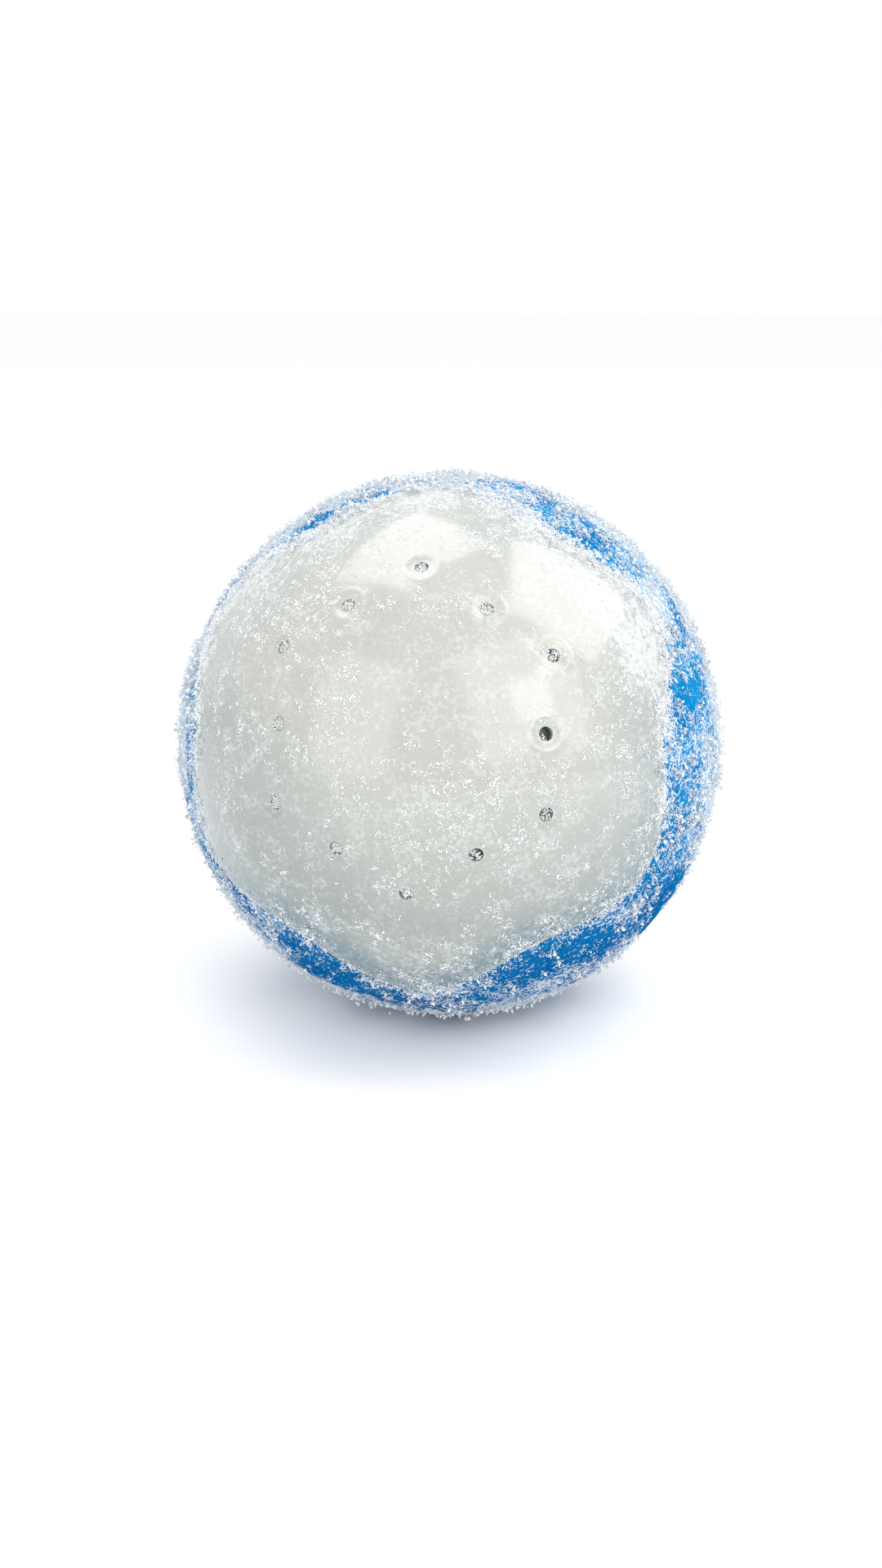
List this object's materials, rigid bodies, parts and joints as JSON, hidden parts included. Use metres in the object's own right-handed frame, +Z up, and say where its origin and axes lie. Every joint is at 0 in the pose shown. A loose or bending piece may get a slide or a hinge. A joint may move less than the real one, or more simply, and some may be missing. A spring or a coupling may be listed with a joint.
{
  "type": "frosted freezing ball",
  "caption": "Hollow rubber freezing ball with white panels pierced by small holes, a wavy blue belt between them and a lacy crust of frost.",
  "frame": {"origin": "middle of the small flat spot that the ball rests on", "axes": "+Z up, the front panel faces -Y and 18 degrees up, +X to its right"},
  "size_m": [0.0876, 0.0876, 0.085],
  "materials": {
    "white_rubber": "smooth milky white rubber with a soft gloss",
    "blue_rubber": "smooth bright blue rubber with a soft gloss",
    "frost": "white frost crystals, part see-through"
  },
  "bodies": {
    "root": {"front_panel": "white_rubber", "rear_panel": "white_rubber", "belt": "blue_rubber", "frost_crust": "frost"}
  },
  "joints": []
}
